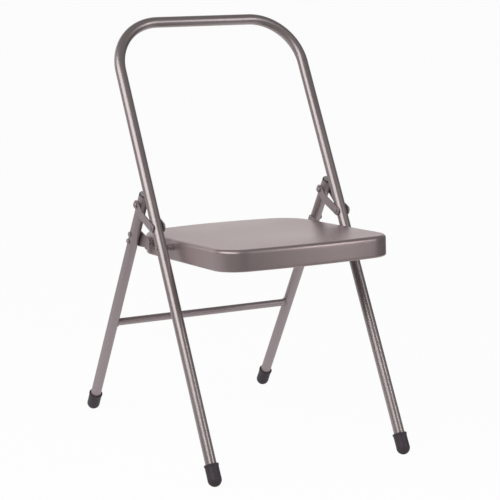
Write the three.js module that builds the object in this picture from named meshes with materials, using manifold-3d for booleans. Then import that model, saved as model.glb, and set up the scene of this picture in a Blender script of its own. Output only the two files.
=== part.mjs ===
// Backless folding yoga chair: a bent-tube front frame, a pair of rear legs with a crossbar,
// a pressed steel seat pan and a strap link on each side, joined as a four-bar fold.
// Millimetres, +Z up, floor at Z = 0. The front faces -Y. Left is -X, as seen from the front.

import * as THREE from 'three';
import { mergeVertices } from 'three/addons/utils/BufferGeometryUtils.js';
import Module from 'manifold-3d';

const wasm = await Module();
wasm.setup();

// Driving sizes

const overallHeight = 780;
const legHalfSpan = 191.5; // middle plane of the chair to the centre line of each leg
const tubeDiameter = 20;
const tubeWall = 1.2;
const frameBendRadius = 95; // centre line of the two top bends

const frontLean = 29.08; // degrees from upright
const rearLean = 30.53;

const crossbarDiameter = 14;
const crossbarWall = 1;
const crossbarHeight = 198.6;

const ballRadius = 12.5;
const ballWear = 0.8; // how much of the ball is flat on the floor
const capLip = 0.7;
const capLipLength = 3;
const capLength = 27; // centre of the ball to the rim
const tubeSeatDepth = 3; // centre of the ball to the end of the tube

const plugDome = 3.6;
const plugStem = 11;
const plugStemWall = 2;

// Seat pan, with lengths measured in the plane of its top
const seatSideGap = 12; // front tube to the side wall of the pan
const seatDepth = 402.5;
const seatBehindPivot = 185.807; // seat pivot to the back edge
const seatFrontHeight = 409.2; // top of the pan at its front edge
const seatTilt = 3.44; // degrees down towards the back
const seatCornerFront = 50;
const seatCornerRear = 72;
const seatCrownFront = 1200; // radius of the slightly bowed front edge
const seatCrownRear = 505;
const skirtDepth = 38.3;
const sheet = 1.2;
const topRounding = 7;
const hemRounding = 3.5;
const hemWidth = 10;

// The fold hangs on the seat's height: all heights below are measured from the seat pivot.
const seatPivotDrop = 26.2; // top of the pan's front edge down to the seat pivot
const legCrossingRise = 106.5834; // where the centre lines of the front and rear legs would cross
const rearLegTopRise = 85.5; // cut end of a rear leg, on its centre line
const linkFrontRise = 35.5;
const linkRearRise = 67;
const rearPivotDrop = 7.5;
const rearPivotAhead = 35.2488; // centre line of the rear leg to the rear pivot
const bracketRivetRise = 7; // upper rivet above the seat pivot, lower one as far below it

const rivetShank = 3; // radius
const smallShank = 2.4;
const domeHead = 6;
const domeHeight = 4;
const smallHead = 5;
const smallHeight = 3.2;
const nubHead = 3.6;
const nubHeight = 1.6;
const flatHead = 5.5;
const flatHeight = 1.2;
const boreSlack = 0.3; // radial slack of a rivet in its hole
const faceSlack = 0.3; // between two faces that lie on each other

const strapWidth = 16.5;
const strapThickness = 2.5;
const strapFrontOverhang = 18;
const strapRearOverhang = 9;
const strapCorner = 6;
const strapElbowAlong = 24.5; // rear rivet to the elbow, along the line of the two rivets
const strapElbowDrop = 5; // the elbow below that line
const bracketThickness = 2.5;
const bracketEar = 12;
const bracketWeb = 10; // radius of the plate's arm where it meets the ear
const bracketWebRise = 2; // middle of the arm above the rear pivot
const bracketShoulder = 5;
const bracketFoot = 11.5;
const spacerRadius = 6;
const spacerNeck = 4; // the part of the seat's spacer that the strap passes

// Smoothness of the facets

const tubeSides = 24;
const bendSteps = 9;
const smallSides = 14;
const plateSteps = 32;
const ballSteps = 5;
const domeSteps = 3;
const crownSteps = 3;
const cornerSteps = 8;
const roundingSteps = 4;

// Places that follow from the sizes

const tubeRadius = tubeDiameter / 2;
const tubeBore = tubeRadius - tubeWall;
const radians = THREE.MathUtils.degToRad;
const ballHeight = ballRadius - ballWear;
const seatHalfWidth = legHalfSpan - tubeRadius - seatSideGap;
const frameTop = overallHeight - tubeRadius;

const frontAxis = { y: Math.sin(radians(frontLean)), z: Math.cos(radians(frontLean)) };
const rearAxis = { y: -Math.sin(radians(rearLean)), z: Math.cos(radians(rearLean)) };

// The feet stand as far out as the leaning legs reach from the height where they would cross.
const seatPivotHeight = seatFrontHeight - seatPivotDrop;
const crossingHeight = seatPivotHeight + legCrossingRise;
const legSpread = frontAxis.y / frontAxis.z - rearAxis.y / rearAxis.z;
const footReach = ((crossingHeight - ballHeight) * legSpread) / 2;
const frontFoot = { y: -footReach, z: ballHeight };
const rearFoot = { y: footReach, z: ballHeight };

// The point of a leg's centre line at a height.
function onLeg(foot, axis, height) {
  const along = (height - foot.z) / axis.z;
  return { y: foot.y + axis.y * along, z: height };
}

const seatPivot = onLeg(frontFoot, frontAxis, seatPivotHeight);
const linkFront = onLeg(frontFoot, frontAxis, seatPivotHeight + linkFrontRise);
const linkRear = onLeg(rearFoot, rearAxis, seatPivotHeight + linkRearRise);
const besideRearPivot = onLeg(rearFoot, rearAxis, seatPivotHeight - rearPivotDrop);
const rearPivot = { y: besideRearPivot.y - rearPivotAhead, z: besideRearPivot.z };
const bracketRivets = [bracketRivetRise, -bracketRivetRise].map((rise) =>
  onLeg(rearFoot, rearAxis, seatPivotHeight + rise),
);
const seatFrontEdge = seatPivot.y + seatBehindPivot - seatDepth;

const tubeOutside = legHalfSpan + tubeRadius;
const tubeInside = legHalfSpan - tubeRadius;
const outerStrapNear = tubeOutside + faceSlack;
const outerStrapFar = outerStrapNear + strapThickness;
const innerStrapFar = tubeInside - faceSlack;
const innerStrapNear = innerStrapFar - strapThickness;
const bracketNear = innerStrapFar - bracketThickness;
const skirtInside = seatHalfWidth - sheet;

// Materials

function finish(color, roughness, metalness) {
  return new THREE.MeshStandardMaterial({ color, roughness, metalness });
}

const looks = {
  framePaint: () => finish('#8d8183', 0.42, 0.55),
  seatPaint: () => finish('#a19596', 0.46, 0.5),
  legPaint: () => finish('#877b7f', 0.5, 0.45),
  hardware: () => finish('#7f7678', 0.4, 0.7),
  collar: () => finish('#877b7f', 0.5, 0.45),
  rubber: () => finish('#463e44', 0.78, 0),
};

// Solids

// A closed surface as a solid: shared corners are joined and flat slivers dropped.
function solid(geometry) {
  const bare = geometry.clone();
  bare.deleteAttribute('normal');
  bare.deleteAttribute('uv');
  const welded = mergeVertices(bare, 1e-4);
  const corners = [];
  const index = welded.index.array;
  for (let i = 0; i < index.length; i += 3) {
    const [a, b, c] = [index[i], index[i + 1], index[i + 2]];
    if (a !== b && b !== c && c !== a) corners.push(a, b, c);
  }
  return new wasm.Manifold(
    new wasm.Mesh({
      numProp: 3,
      vertProperties: new Float32Array(welded.attributes.position.array),
      triVerts: new Uint32Array(corners),
    }),
  );
}

function geometryOf(body) {
  const mesh = body.getMesh();
  const points = new Float32Array(mesh.numVert * 3);
  for (let i = 0; i < mesh.numVert; i += 1) {
    for (let k = 0; k < 3; k += 1) points[i * 3 + k] = mesh.vertProperties[i * mesh.numProp + k];
  }
  const geometry = new THREE.BufferGeometry();
  geometry.setAttribute('position', new THREE.BufferAttribute(points, 3));
  geometry.setIndex(new THREE.BufferAttribute(new Uint32Array(mesh.triVerts), 1));
  geometry.computeVertexNormals();
  return geometry;
}

function node(name, body, look) {
  const mesh = new THREE.Mesh(geometryOf(body), look());
  mesh.name = name;
  return mesh;
}

function without(body, cutters) {
  return cutters.reduce((rest, cutter) => rest.subtract(cutter), body);
}

// Turns a profile of [radius, distance] pairs about the X axis through a point of the side view.
// Distances run along +X from the plane x.
function turnedAlongX(profile, x, point, sides) {
  const lathe = new THREE.LatheGeometry(
    profile.map(([radius, along]) => new THREE.Vector2(radius, along)),
    sides,
  );
  lathe.rotateZ(-Math.PI / 2);
  lathe.translate(x, point.y, point.z);
  return solid(lathe);
}

// A plain round bar along X, which also serves as the drill for holes.
function barAlongX(radius, from, to, point, sides) {
  const length = to - from;
  const profile = [
    [0, 0],
    [radius, 0],
    [radius, length],
    [0, length],
  ];
  return turnedAlongX(profile, from, point, sides);
}

function ringAlongX(outer, inner, from, to, point, sides) {
  const length = to - from;
  const profile = [
    [inner, 0],
    [outer, 0],
    [outer, length],
    [inner, length],
    [inner, 0],
  ];
  return turnedAlongX(profile, from, point, sides);
}

// The half outline of a domed head that starts on a face and ends on the axis.
function domeProfile(radius, height, start, direction) {
  const points = [];
  for (let i = 0; i <= domeSteps; i += 1) {
    const turn = (i / domeSteps) * (Math.PI / 2);
    points.push([radius * Math.cos(turn), start + direction * height * Math.sin(turn)]);
  }
  points[domeSteps][0] = 0;
  return points;
}

// A rivet along X with a head beyond each of the planes from and to.
function rivet(point, from, to, shank, headFrom, headTo, sides = smallSides) {
  const length = to - from;
  const profile = [
    ...domeProfile(headFrom.radius, headFrom.height, 0, -1).reverse(),
    [shank, 0],
    [shank, length],
    ...domeProfile(headTo.radius, headTo.height, length, 1),
  ];
  return turnedAlongX(profile, from, point, sides);
}

// A rivet whose shank ends square on the plane to.
function stubRivet(point, from, to, shank, head) {
  const length = to - from;
  const profile = [
    ...domeProfile(head.radius, head.height, 0, -1).reverse(),
    [shank, 0],
    [shank, length],
    [0, length],
  ];
  return turnedAlongX(profile, from, point, smallSides);
}

function mirrored(body, side) {
  return side < 0 ? body.mirror([1, 0, 0]) : body;
}

// Plate in the side view: an outline of y and z, extruded along X between two planes.
function plateAlongX(outline, from, to) {
  const shape = new THREE.Shape(outline.map(({ y, z }) => new THREE.Vector2(y, z)));
  const plate = new THREE.ExtrudeGeometry(shape, { depth: to - from, bevelEnabled: false });
  // The shape's own axes x, y, z become Y, Z, X.
  plate.applyMatrix4(
    new THREE.Matrix4().makeBasis(
      new THREE.Vector3(0, 1, 0),
      new THREE.Vector3(0, 0, 1),
      new THREE.Vector3(1, 0, 0),
    ),
  );
  plate.translate(from, 0, 0);
  return solid(plate);
}

// Round bar or tube from one leg point to another, with its own Z along the leg.
function alongLeg(geometry, foot, axis) {
  const up = new THREE.Vector3(0, axis.y, axis.z);
  geometry.applyQuaternion(
    new THREE.Quaternion().setFromUnitVectors(new THREE.Vector3(0, 0, 1), up),
  );
  geometry.translate(legHalfSpan, foot.y, foot.z);
  return geometry;
}

function circleWithBore(radius, bore) {
  const shape = new THREE.Shape();
  shape.absarc(0, 0, radius, 0, Math.PI * 2, false);
  const hole = new THREE.Path();
  hole.absarc(0, 0, bore, 0, Math.PI * 2, true);
  shape.holes.push(hole);
  return shape;
}

// A curve given by its stations, so that the sweep has rings only where the tube bends.
class StationCurve extends THREE.Curve {
  constructor(stations) {
    super();
    this.stations = stations;
  }

  at(u) {
    const last = this.stations.length - 1;
    return this.stations[Math.min(last, Math.max(0, Math.round(u * last)))];
  }

  getPoint(u, target = new THREE.Vector3()) {
    return target.copy(this.at(u).point);
  }

  getPointAt(u, target) {
    return this.getPoint(u, target);
  }

  getTangentAt(u, target = new THREE.Vector3()) {
    return target.copy(this.at(u).tangent);
  }
}

// Front frame

// One tube: up the right side, over the top and down the left, in the leaning plane.
function frameStations() {
  const riseOf = (height) => (height - frontFoot.z) / frontAxis.z;
  const top = riseOf(frameTop);
  const place = (x, rise, dx, dRise) => ({
    point: new THREE.Vector3(
      x,
      frontFoot.y + frontAxis.y * rise,
      frontFoot.z + frontAxis.z * rise,
    ),
    tangent: new THREE.Vector3(dx, frontAxis.y * dRise, frontAxis.z * dRise).normalize(),
  });
  const stations = [place(legHalfSpan, tubeSeatDepth, 0, 1)];
  for (let i = 0; i <= bendSteps; i += 1) {
    const turn = (i / bendSteps) * (Math.PI / 2);
    stations.push(
      place(
        legHalfSpan - frameBendRadius * (1 - Math.cos(turn)),
        top - frameBendRadius * (1 - Math.sin(turn)),
        -Math.sin(turn),
        Math.cos(turn),
      ),
    );
  }
  for (let i = 0; i <= bendSteps; i += 1) {
    const turn = (i / bendSteps) * (Math.PI / 2);
    stations.push(
      place(
        -legHalfSpan + frameBendRadius * (1 - Math.sin(turn)),
        top - frameBendRadius * (1 - Math.cos(turn)),
        -Math.cos(turn),
        -Math.sin(turn),
      ),
    );
  }
  stations.push(place(-legHalfSpan, tubeSeatDepth, 0, -1));
  return stations;
}

// A drill through both walls of a leg, clear of them on each side.
function legDrill(side, point, radius) {
  const reach = tubeRadius + faceSlack;
  const drill = barAlongX(radius, legHalfSpan - reach, legHalfSpan + reach, point, smallSides);
  return mirrored(drill, side);
}

function frontFrame() {
  const stations = frameStations();
  const sweep = new THREE.ExtrudeGeometry(circleWithBore(tubeRadius, tubeBore), {
    steps: stations.length - 1,
    curveSegments: tubeSides / 2,
    bevelEnabled: false,
    extrudePath: new StationCurve(stations),
  });
  const drills = [];
  for (const side of [-1, 1]) {
    drills.push(legDrill(side, seatPivot, rivetShank + boreSlack));
    drills.push(legDrill(side, linkFront, rivetShank + boreSlack));
  }
  return without(solid(sweep), drills);
}

// Rear legs

const rearLegLength = (seatPivotHeight + rearLegTopRise - rearFoot.z) / rearAxis.z;

function rearLeg(side) {
  const tube = new THREE.ExtrudeGeometry(circleWithBore(tubeRadius, tubeBore), {
    depth: rearLegLength - tubeSeatDepth,
    curveSegments: tubeSides / 2,
    bevelEnabled: false,
  });
  tube.translate(0, 0, tubeSeatDepth);
  const body = mirrored(solid(alongLeg(tube, rearFoot, rearAxis)), side);
  const drills = [legDrill(side, linkRear, rivetShank + boreSlack)];
  for (const point of bracketRivets) {
    drills.push(legDrill(side, point, smallShank + boreSlack));
  }
  return without(body, drills);
}

// The crossbar's ends are cut to the round of the legs that they are welded to.
function rearCrossbar() {
  const point = onLeg(rearFoot, rearAxis, crossbarHeight);
  const outer = crossbarDiameter / 2;
  const bar = ringAlongX(outer, outer - crossbarWall, -legHalfSpan, legHalfSpan, point, tubeSides);
  const cutterLength = rearLegLength;
  const cutters = [-1, 1].map((side) => {
    const leg = new THREE.CylinderGeometry(
      tubeRadius + faceSlack,
      tubeRadius + faceSlack,
      cutterLength,
      tubeSides,
    );
    leg.rotateX(Math.PI / 2);
    leg.translate(0, 0, cutterLength / 2);
    return mirrored(solid(alongLeg(leg, rearFoot, rearAxis)), side);
  });
  return without(bar, cutters);
}

function topPlug(side) {
  const stemRadius = tubeBore - boreSlack;
  const stemBore = stemRadius - plugStemWall;
  const rim = rearLegLength + faceSlack;
  const profile = [
    [0, rim],
    [stemBore, rim],
    [stemBore, rim - plugStem],
    [stemRadius, rim - plugStem],
    [stemRadius, rim],
    ...domeProfile(tubeRadius, plugDome, rim, 1),
  ];
  return mirrored(solid(turnedAlongLeg(profile, rearFoot, rearAxis)), side);
}

function turnedAlongLeg(profile, foot, axis) {
  const lathe = new THREE.LatheGeometry(
    profile.map(([radius, along]) => new THREE.Vector2(radius, along)),
    tubeSides,
  );
  lathe.rotateX(Math.PI / 2);
  return alongLeg(lathe, foot, axis);
}

// Feet

// A rubber cap over the end of a leg: a ball that is worn flat on the floor, and a sleeve.
function footCap(side, foot, axis) {
  const bore = tubeRadius + boreSlack;
  const floor = tubeSeatDepth - faceSlack;
  const profile = [];
  for (let i = 0; i <= ballSteps; i += 1) {
    const turn = (i / ballSteps) * (Math.PI / 2);
    profile.push([ballRadius * Math.sin(turn), -ballRadius * Math.cos(turn)]);
  }
  profile[0][0] = 0;
  profile.push([ballRadius, capLength - capLipLength]);
  profile.push([ballRadius + capLip, capLength - capLipLength + capLip]);
  profile.push([ballRadius + capLip, capLength - capLip]);
  profile.push([ballRadius, capLength]);
  profile.push([bore, capLength]);
  profile.push([bore, floor]);
  profile.push([0, floor]);
  const cap = solid(turnedAlongLeg(profile, foot, axis));
  const blockSize = ballRadius * 4;
  const block = new THREE.BoxGeometry(blockSize, blockSize, blockSize);
  block.translate(legHalfSpan, foot.y, -blockSize / 2);
  return mirrored(cap.subtract(solid(block)), side);
}

// Seat pan

// The pan's outline is made of arcs that meet in line: a wide bowed edge, a corner, a straight
// side, a corner and a bowed edge again. Moving it inwards only changes the arcs' radii.
function seatOutline(inset) {
  const arcs = [];
  const quarter = Math.PI / 2;
  const crownTurn = (crown, corner) =>
    Math.asin((seatHalfWidth - corner) / (crown - corner));
  const frontTurn = crownTurn(seatCrownFront, seatCornerFront);
  const rearTurn = crownTurn(seatCrownRear, seatCornerRear);
  const reachOf = (crown, corner, turn) =>
    crown * (1 - Math.cos(turn)) + corner * Math.cos(turn);
  const straight =
    seatDepth -
    reachOf(seatCrownFront, seatCornerFront, frontTurn) -
    reachOf(seatCrownRear, seatCornerRear, rearTurn);
  arcs.push([seatCrownFront, 0, frontTurn, crownSteps]);
  arcs.push([seatCornerFront, frontTurn, quarter, cornerSteps]);
  arcs.push([0, quarter, quarter, 1]);
  arcs.push([seatCornerRear, quarter, Math.PI - rearTurn, cornerSteps]);
  arcs.push([seatCrownRear, Math.PI - rearTurn, Math.PI, crownSteps]);
  // Each arc starts where the one before ends; the walk goes from the front's middle to the
  // back's middle on the +X side, and its normal gives the inset.
  let x = 0;
  let v = 0;
  const half = [{ x, v, nx: 0, nv: -1 }];
  for (const [radius, from, to, steps] of arcs) {
    if (radius === 0) {
      v += straight;
      half.push({ x, v, nx: 1, nv: 0 });
      continue;
    }
    const centre = { x: x - radius * Math.sin(from), v: v + radius * Math.cos(from) };
    for (let i = 1; i <= steps; i += 1) {
      const turn = from + ((to - from) * i) / steps;
      x = centre.x + radius * Math.sin(turn);
      v = centre.v - radius * Math.cos(turn);
      half.push({ x, v, nx: Math.sin(turn), nv: -Math.cos(turn) });
    }
  }
  const right = half.map(({ x: px, v: pv, nx, nv }) => [px - nx * inset, pv - nv * inset]);
  right[0][0] = 0;
  right[right.length - 1][0] = 0;
  const left = right.slice(1, -1).reverse();
  return [...right, ...left.map(([px, pv]) => [-px, pv])];
}

// The pan's section as [inset, height] pairs, from the middle of its top over the rounded rim,
// down the skirt, round the hem and back along the inside.
function seatSection() {
  const section = [];
  const arc = (insetCentre, heightCentre, radius, from, to, steps) => {
    for (let i = 0; i <= steps; i += 1) {
      const turn = from + ((to - from) * i) / steps;
      section.push([
        insetCentre - radius * Math.cos(turn),
        heightCentre + radius * Math.sin(turn),
      ]);
    }
  };
  const quarter = Math.PI / 2;
  const hemCentre = hemRounding - skirtDepth;
  arc(topRounding, -topRounding, topRounding, quarter, 0, roundingSteps);
  arc(hemRounding, hemCentre, hemRounding, 0, -quarter, roundingSteps);
  section.push([hemWidth, -skirtDepth]);
  section.push([hemWidth, sheet - skirtDepth]);
  arc(hemRounding, hemCentre, hemRounding - sheet, -quarter, 0, roundingSteps);
  arc(topRounding, -topRounding, topRounding - sheet, 0, quarter, roundingSteps);
  return section;
}

// Loft of the outline through the section, closed over the top and under it.
function seatShell() {
  const rings = seatSection().map(([inset, height]) =>
    seatOutline(inset).map(([x, v]) => [x, v, height]),
  );
  const count = rings[0].length;
  const points = rings.flat(2);
  const triangles = [];
  for (let r = 0; r + 1 < rings.length; r += 1) {
    for (let i = 0; i < count; i += 1) {
      const j = (i + 1) % count;
      const [a, b] = [r * count + i, r * count + j];
      const [c, d] = [a + count, b + count];
      triangles.push(a, c, b, b, c, d);
    }
  }
  const middle = seatDepth / 2;
  const topMiddle = points.length / 3;
  points.push(0, middle, 0);
  points.push(0, middle, -sheet);
  const lastRing = (rings.length - 1) * count;
  for (let i = 0; i < count; i += 1) {
    const j = (i + 1) % count;
    triangles.push(topMiddle, i, j);
    triangles.push(topMiddle + 1, lastRing + j, lastRing + i);
  }
  const geometry = new THREE.BufferGeometry();
  geometry.setAttribute('position', new THREE.Float32BufferAttribute(points, 3));
  geometry.setIndex(triangles);
  geometry.rotateX(-radians(seatTilt));
  geometry.translate(0, seatFrontEdge, seatFrontHeight);
  return solid(geometry);
}

function seatPan() {
  const drills = [];
  for (const side of [-1, 1]) {
    for (const point of [seatPivot, rearPivot]) {
      const drill = barAlongX(
        rivetShank + boreSlack,
        skirtInside - hemWidth / 2,
        tubeInside,
        point,
        smallSides,
      );
      drills.push(mirrored(drill, side));
    }
  }
  return without(seatShell(), drills);
}

// Hinges

// Convex outline round a set of circles, walked with a support point for each heading.
function outlineRound(circles, steps) {
  const outline = [];
  for (let i = 0; i < steps; i += 1) {
    const turn = (i / steps) * Math.PI * 2;
    const heading = { y: Math.cos(turn), z: Math.sin(turn) };
    const reach = (c) => c.y * heading.y + c.z * heading.z + c.radius;
    const best = circles.reduce((a, b) => (reach(b) > reach(a) ? b : a));
    outline.push({
      y: best.y + best.radius * heading.y,
      z: best.z + best.radius * heading.z,
    });
  }
  return outline;
}

// The bracket's sheet seen along the rear leg: flat in front of the leg's centre line, and bent
// round the tube behind it.
function bracketSheet() {
  const near = tubeRadius + faceSlack;
  const far = near + bracketThickness;
  const reach = rearPivotAhead + bracketEar * 2;
  const shape = new THREE.Shape();
  shape.moveTo(-far, -reach);
  shape.lineTo(-far, 0);
  shape.absarc(0, 0, far, Math.PI, Math.PI / 2, true);
  shape.lineTo(0, near);
  shape.absarc(0, 0, near, Math.PI / 2, Math.PI, false);
  shape.lineTo(-near, -reach);
  const sheetBar = new THREE.ExtrudeGeometry(shape, {
    depth: rearLegLength,
    curveSegments: tubeSides / 4,
    bevelEnabled: false,
  });
  return solid(alongLeg(sheetBar, rearFoot, rearAxis));
}

function hingeBracket(side) {
  const [upper, lower] = bracketRivets;
  const arm = [
    { y: rearPivot.y, z: rearPivot.z + bracketWebRise, radius: bracketWeb },
    { ...upper, radius: bracketShoulder },
    { ...lower, radius: bracketFoot },
  ];
  const ear = [{ ...rearPivot, radius: bracketEar }];
  const block = (circles) =>
    plateAlongX(outlineRound(circles, plateSteps), bracketNear - faceSlack, legHalfSpan);
  const plate = block(arm).add(block(ear)).intersect(bracketSheet());
  const drill = (point, radius) =>
    barAlongX(radius, bracketNear - faceSlack, tubeInside, point, smallSides);
  const holes = [
    drill(rearPivot, rivetShank + boreSlack),
    ...bracketRivets.map((point) => drill(point, smallShank + boreSlack)),
  ];
  return mirrored(without(plate, holes), side);
}

// A flat strap from the rear leg to the front tube, round at the back, bent down at an elbow
// and blunt at the front. It is given as the outlines of its two arms.
function strapArms() {
  const unit = (from, to) => {
    const length = Math.hypot(to.y - from.y, to.z - from.z);
    return { y: (to.y - from.y) / length, z: (to.z - from.z) / length };
  };
  const beside = (start, along, a, b, radius) => ({
    y: start.y + along.y * a - along.z * b,
    z: start.z + along.z * a + along.y * b,
    radius,
  });
  const half = strapWidth / 2;
  const straight = unit(linkRear, linkFront);
  const elbow = beside(linkRear, straight, strapElbowAlong, strapElbowDrop, half);
  const rearWay = unit(linkRear, elbow);
  const frontWay = unit(elbow, linkFront);
  const blunt = strapFrontOverhang - strapCorner;
  const tip = (b) => beside(linkFront, frontWay, blunt, b, strapCorner);
  return [
    outlineRound([beside(linkRear, rearWay, half - strapRearOverhang, 0, half), elbow], plateSteps),
    outlineRound([elbow, tip(half - strapCorner), tip(strapCorner - half)], plateSteps),
  ];
}

function linkStrap(side, from, to) {
  const [rearArm, frontArm] = strapArms().map((outline) => plateAlongX(outline, from, to));
  const holes = [linkFront, linkRear].map((point) =>
    barAlongX(rivetShank + boreSlack, from - faceSlack, to + faceSlack, point, smallSides),
  );
  return mirrored(without(rearArm.add(frontArm), holes), side);
}

const dome = { radius: domeHead, height: domeHeight };
const smallDome = { radius: smallHead, height: smallHeight };
const nub = { radius: nubHead, height: nubHeight };
const flat = { radius: flatHead, height: flatHeight };

const linkFrontRivet = (side) =>
  mirrored(
    rivet(linkFront, innerStrapNear - faceSlack, outerStrapFar + faceSlack, rivetShank, flat, flat),
    side,
  );

// The rear end of the link is where the closed fold is opened, so this rivet stops at the leg.
const outerStub = (side) =>
  mirrored(
    stubRivet(
      linkRear,
      -(outerStrapFar + faceSlack),
      -outerStrapNear,
      rivetShank,
      dome,
    ),
    -side,
  );

const innerStub = (side) =>
  mirrored(
    stubRivet(linkRear, innerStrapNear - faceSlack, innerStrapFar, rivetShank, dome),
    side,
  );

const seatPivotRivet = (side) =>
  mirrored(
    rivet(seatPivot, skirtInside - faceSlack, tubeOutside + faceSlack, rivetShank, flat, nub),
    side,
  );

// The seat's spacer is stepped, so that the inner strap clears it when the chair is folded.
const seatPivotSpacer = (side) => {
  const start = seatHalfWidth + faceSlack;
  const step = innerStrapNear - faceSlack;
  const end = tubeInside - faceSlack;
  const bore = rivetShank + boreSlack;
  const profile = [
    [bore, 0],
    [spacerRadius, 0],
    [spacerRadius, step - start],
    [spacerNeck, step - start],
    [spacerNeck, end - start],
    [bore, end - start],
    [bore, 0],
  ];
  return mirrored(turnedAlongX(profile, start, seatPivot, smallSides), side);
};

// The rear pivot's rivet is peened flush in the bracket, because the folded bracket lies
// beside the front tube.
const rearPivotRivet = (side) =>
  mirrored(
    stubRivet(rearPivot, skirtInside - faceSlack, innerStrapFar, rivetShank, flat),
    side,
  );

const rearPivotSpacer = (side) =>
  mirrored(
    ringAlongX(
      spacerRadius,
      rivetShank + boreSlack,
      seatHalfWidth + faceSlack,
      bracketNear - faceSlack,
      rearPivot,
      smallSides,
    ),
    side,
  );

const bracketRivet = (side, point) =>
  mirrored(
    stubRivet(point, -(tubeOutside + faceSlack), -bracketNear, smallShank, smallDome),
    -side,
  );

// The chair

const chair = new THREE.Group();
chair.name = 'backless_yoga_chair';

chair.add(node('front_frame', frontFrame(), looks.framePaint));
chair.add(node('seat_pan', seatPan(), looks.seatPaint));
chair.add(node('rear_crossbar', rearCrossbar(), looks.legPaint));

for (const [side, word] of [
  [-1, 'left'],
  [1, 'right'],
]) {
  const add = (name, body, look) => chair.add(node(`${name}_${word}`, body, look));
  add('rear_leg', rearLeg(side), looks.legPaint);
  add('rear_leg_plug', topPlug(side), looks.rubber);
  add('foot_cap_front', footCap(side, frontFoot, frontAxis), looks.rubber);
  add('foot_cap_rear', footCap(side, rearFoot, rearAxis), looks.rubber);
  add('hinge_bracket', hingeBracket(side), looks.legPaint);
  add('bracket_rivet_upper', bracketRivet(side, bracketRivets[0]), looks.hardware);
  add('bracket_rivet_lower', bracketRivet(side, bracketRivets[1]), looks.hardware);
  add('link_strap_outer', linkStrap(side, outerStrapNear, outerStrapFar), looks.legPaint);
  add('link_strap_inner', linkStrap(side, innerStrapNear, innerStrapFar), looks.legPaint);
  add('link_front_rivet', linkFrontRivet(side), looks.hardware);
  add('link_rear_rivet_outer', outerStub(side), looks.hardware);
  add('link_rear_rivet_inner', innerStub(side), looks.hardware);
  add('seat_pivot_rivet', seatPivotRivet(side), looks.hardware);
  add('seat_pivot_spacer', seatPivotSpacer(side), looks.collar);
  add('rear_pivot_rivet', rearPivotRivet(side), looks.hardware);
  add('rear_pivot_spacer', rearPivotSpacer(side), looks.collar);
}

export default chair;
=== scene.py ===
import math

import bpy
import numpy as np
from bpy.props import FloatProperty, FloatVectorProperty, IntProperty, PointerProperty
from bpy.types import Operator, Panel, PropertyGroup
from mathutils import Matrix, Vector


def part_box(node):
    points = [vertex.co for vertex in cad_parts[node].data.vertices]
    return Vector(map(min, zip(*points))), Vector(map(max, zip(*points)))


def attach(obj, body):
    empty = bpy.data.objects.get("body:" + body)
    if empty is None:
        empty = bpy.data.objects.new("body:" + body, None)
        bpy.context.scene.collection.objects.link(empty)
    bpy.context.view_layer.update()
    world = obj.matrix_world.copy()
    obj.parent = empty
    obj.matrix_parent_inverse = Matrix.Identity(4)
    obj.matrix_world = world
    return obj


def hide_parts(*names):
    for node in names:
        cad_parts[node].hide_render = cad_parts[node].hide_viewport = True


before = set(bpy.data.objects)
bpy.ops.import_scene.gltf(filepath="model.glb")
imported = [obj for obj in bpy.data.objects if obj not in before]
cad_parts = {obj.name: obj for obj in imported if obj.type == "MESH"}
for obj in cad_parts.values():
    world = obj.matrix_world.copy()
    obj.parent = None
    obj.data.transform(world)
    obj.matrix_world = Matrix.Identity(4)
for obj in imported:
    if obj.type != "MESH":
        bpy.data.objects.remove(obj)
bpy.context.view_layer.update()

bl_info = {
    "name": "Backless Yoga Chair",
    "version": (1, 0, 0),
    "blender": (4, 5, 0),
    "location": "3D View > Sidebar > Yoga Chair",
    "description": "Builds a folding tube chair round its CAD frame",
    "category": "Add Mesh",
}

TURN = 2 * math.pi
QUARTER = math.pi / 2
SIDES = [("left", -1.0), ("right", 1.0)]
X_AXIS, Y_AXIS, Z_AXIS = np.eye(3)
# A point times this is its foot on the chair's middle plane.
ONTO_MIDDLE = Y_AXIS + Z_AXIS
WHITE = (1.0, 1.0, 1.0, 1.0)


# Settings


def setting(kind, **fixed):
    """A maker of settings of one kind, from a name, a description and a default."""

    def made(name, description, default):
        return kind(name=name, description=description, default=default, **fixed)

    return made


length = setting(FloatProperty, min=0.0, unit="LENGTH", precision=5)
share = setting(FloatProperty, min=0.0, max=1.0, subtype="FACTOR")
paint_colour = setting(FloatVectorProperty, size=3, min=0.0, max=1.0, subtype="COLOR")
angle = setting(FloatProperty, subtype="ANGLE")
rad = math.radians


class TubeSettings(PropertyGroup):
    """Sizes of the bent and straight tubes"""

    leg_half_span: length("Leg half span", "Middle plane to a leg's centre line", 0.1915)
    radius: length("Tube radius", "Outer radius of the frame tube", 0.010)
    bend_radius: length("Bend radius", "Centre line of the top bends", 0.095)
    foot_reach: length("Foot reach", "Chair's middle to a foot's centre", 0.2738)
    ball_height: length("Ball height", "Floor to a foot's centre", 0.0117)
    top_height: length("Top height", "Floor to the top bar's centre line", 0.770)
    rear_top: length("Rear leg top", "Floor to a rear leg's cut end", 0.4685)
    depth_in_cap: length("Depth in cap", "Ball's centre to the tube's end", 0.003)
    crossbar_radius: length("Crossbar radius", "Outer radius of the crossbar", 0.007)
    crossbar_height: length("Crossbar height", "Floor to the crossbar", 0.1986)
    weld_radius: length("Weld radius", "Radius of the bead round its ends", 0.0019)
    front_lean: angle("Front lean", "Front legs from upright", rad(29.08))
    rear_lean: angle("Rear lean", "Rear legs from upright", rad(30.53))


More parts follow.
